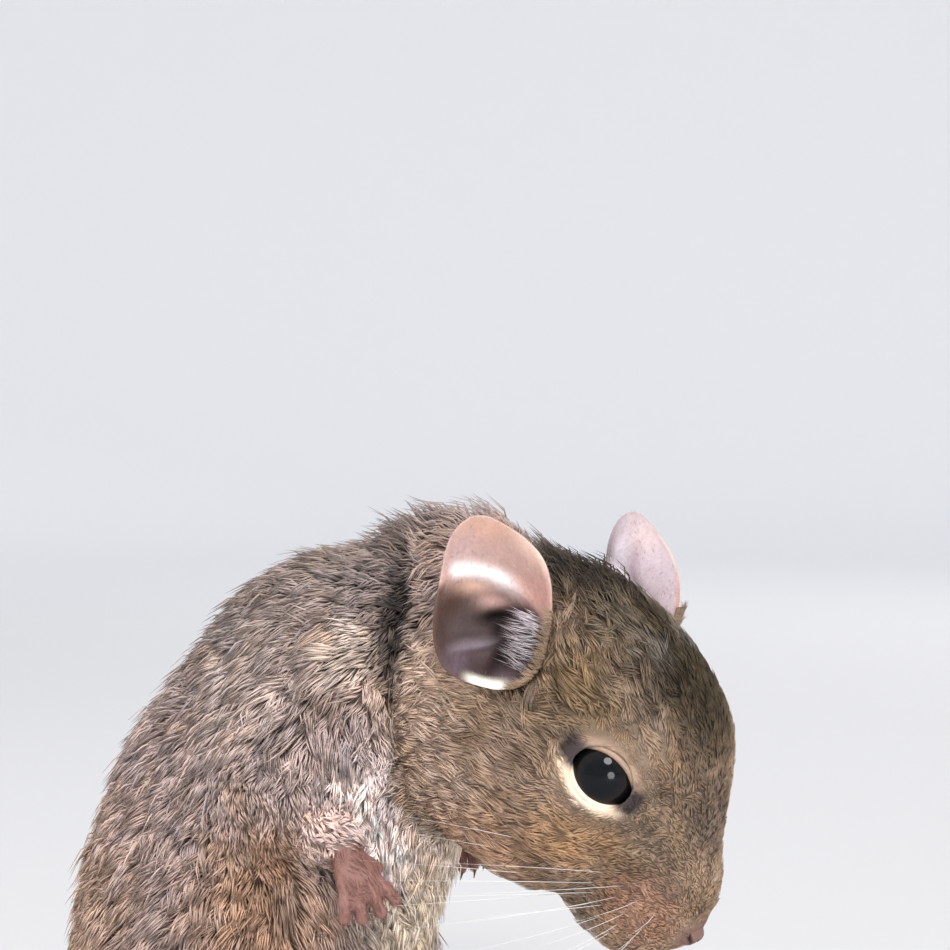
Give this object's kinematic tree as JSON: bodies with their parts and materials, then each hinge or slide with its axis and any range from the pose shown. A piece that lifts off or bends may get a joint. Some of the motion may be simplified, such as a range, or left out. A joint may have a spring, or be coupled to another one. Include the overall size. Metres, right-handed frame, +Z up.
{
  "type": "degu model",
  "caption": "Life-size still model of a young degu sitting hunched on its haunches, head lowered and turned to its right.",
  "frame": {"origin": "centre of the footprint, on the floor", "axes": "+X the way the body faces, +Y its left, +Z up"},
  "size_m": [0.1526, 0.0804, 0.0756],
  "materials": {
    "coat": "short agouti fur, grey-brown with buff and black ticking, white on chest and belly",
    "ear_skin": "thin bare pinkish skin, grey-brown in the bowl",
    "eye": "wet, near black",
    "foot_skin": "creased brownish pink skin under sparse pale hair",
    "tail_coat": "short stiff brown hair with a black brush at the end"
  },
  "bodies": {
    "root": {"head": "coat", "neck": "coat", "torso": "coat", "ear_right": "ear_skin", "ear_left": "ear_skin", "eye_right": "eye", "eye_left": "eye", "foreleg_right": "coat", "foreleg_left": "coat", "forefoot_right": "foot_skin", "forefoot_left": "foot_skin", "hindleg_right": "coat", "hindleg_left": "coat", "hindfoot_right": "foot_skin", "hindfoot_left": "foot_skin", "tail_base": "tail_coat", "tail_middle": "tail_coat", "tail_end": "tail_coat"}
  },
  "joints": []
}
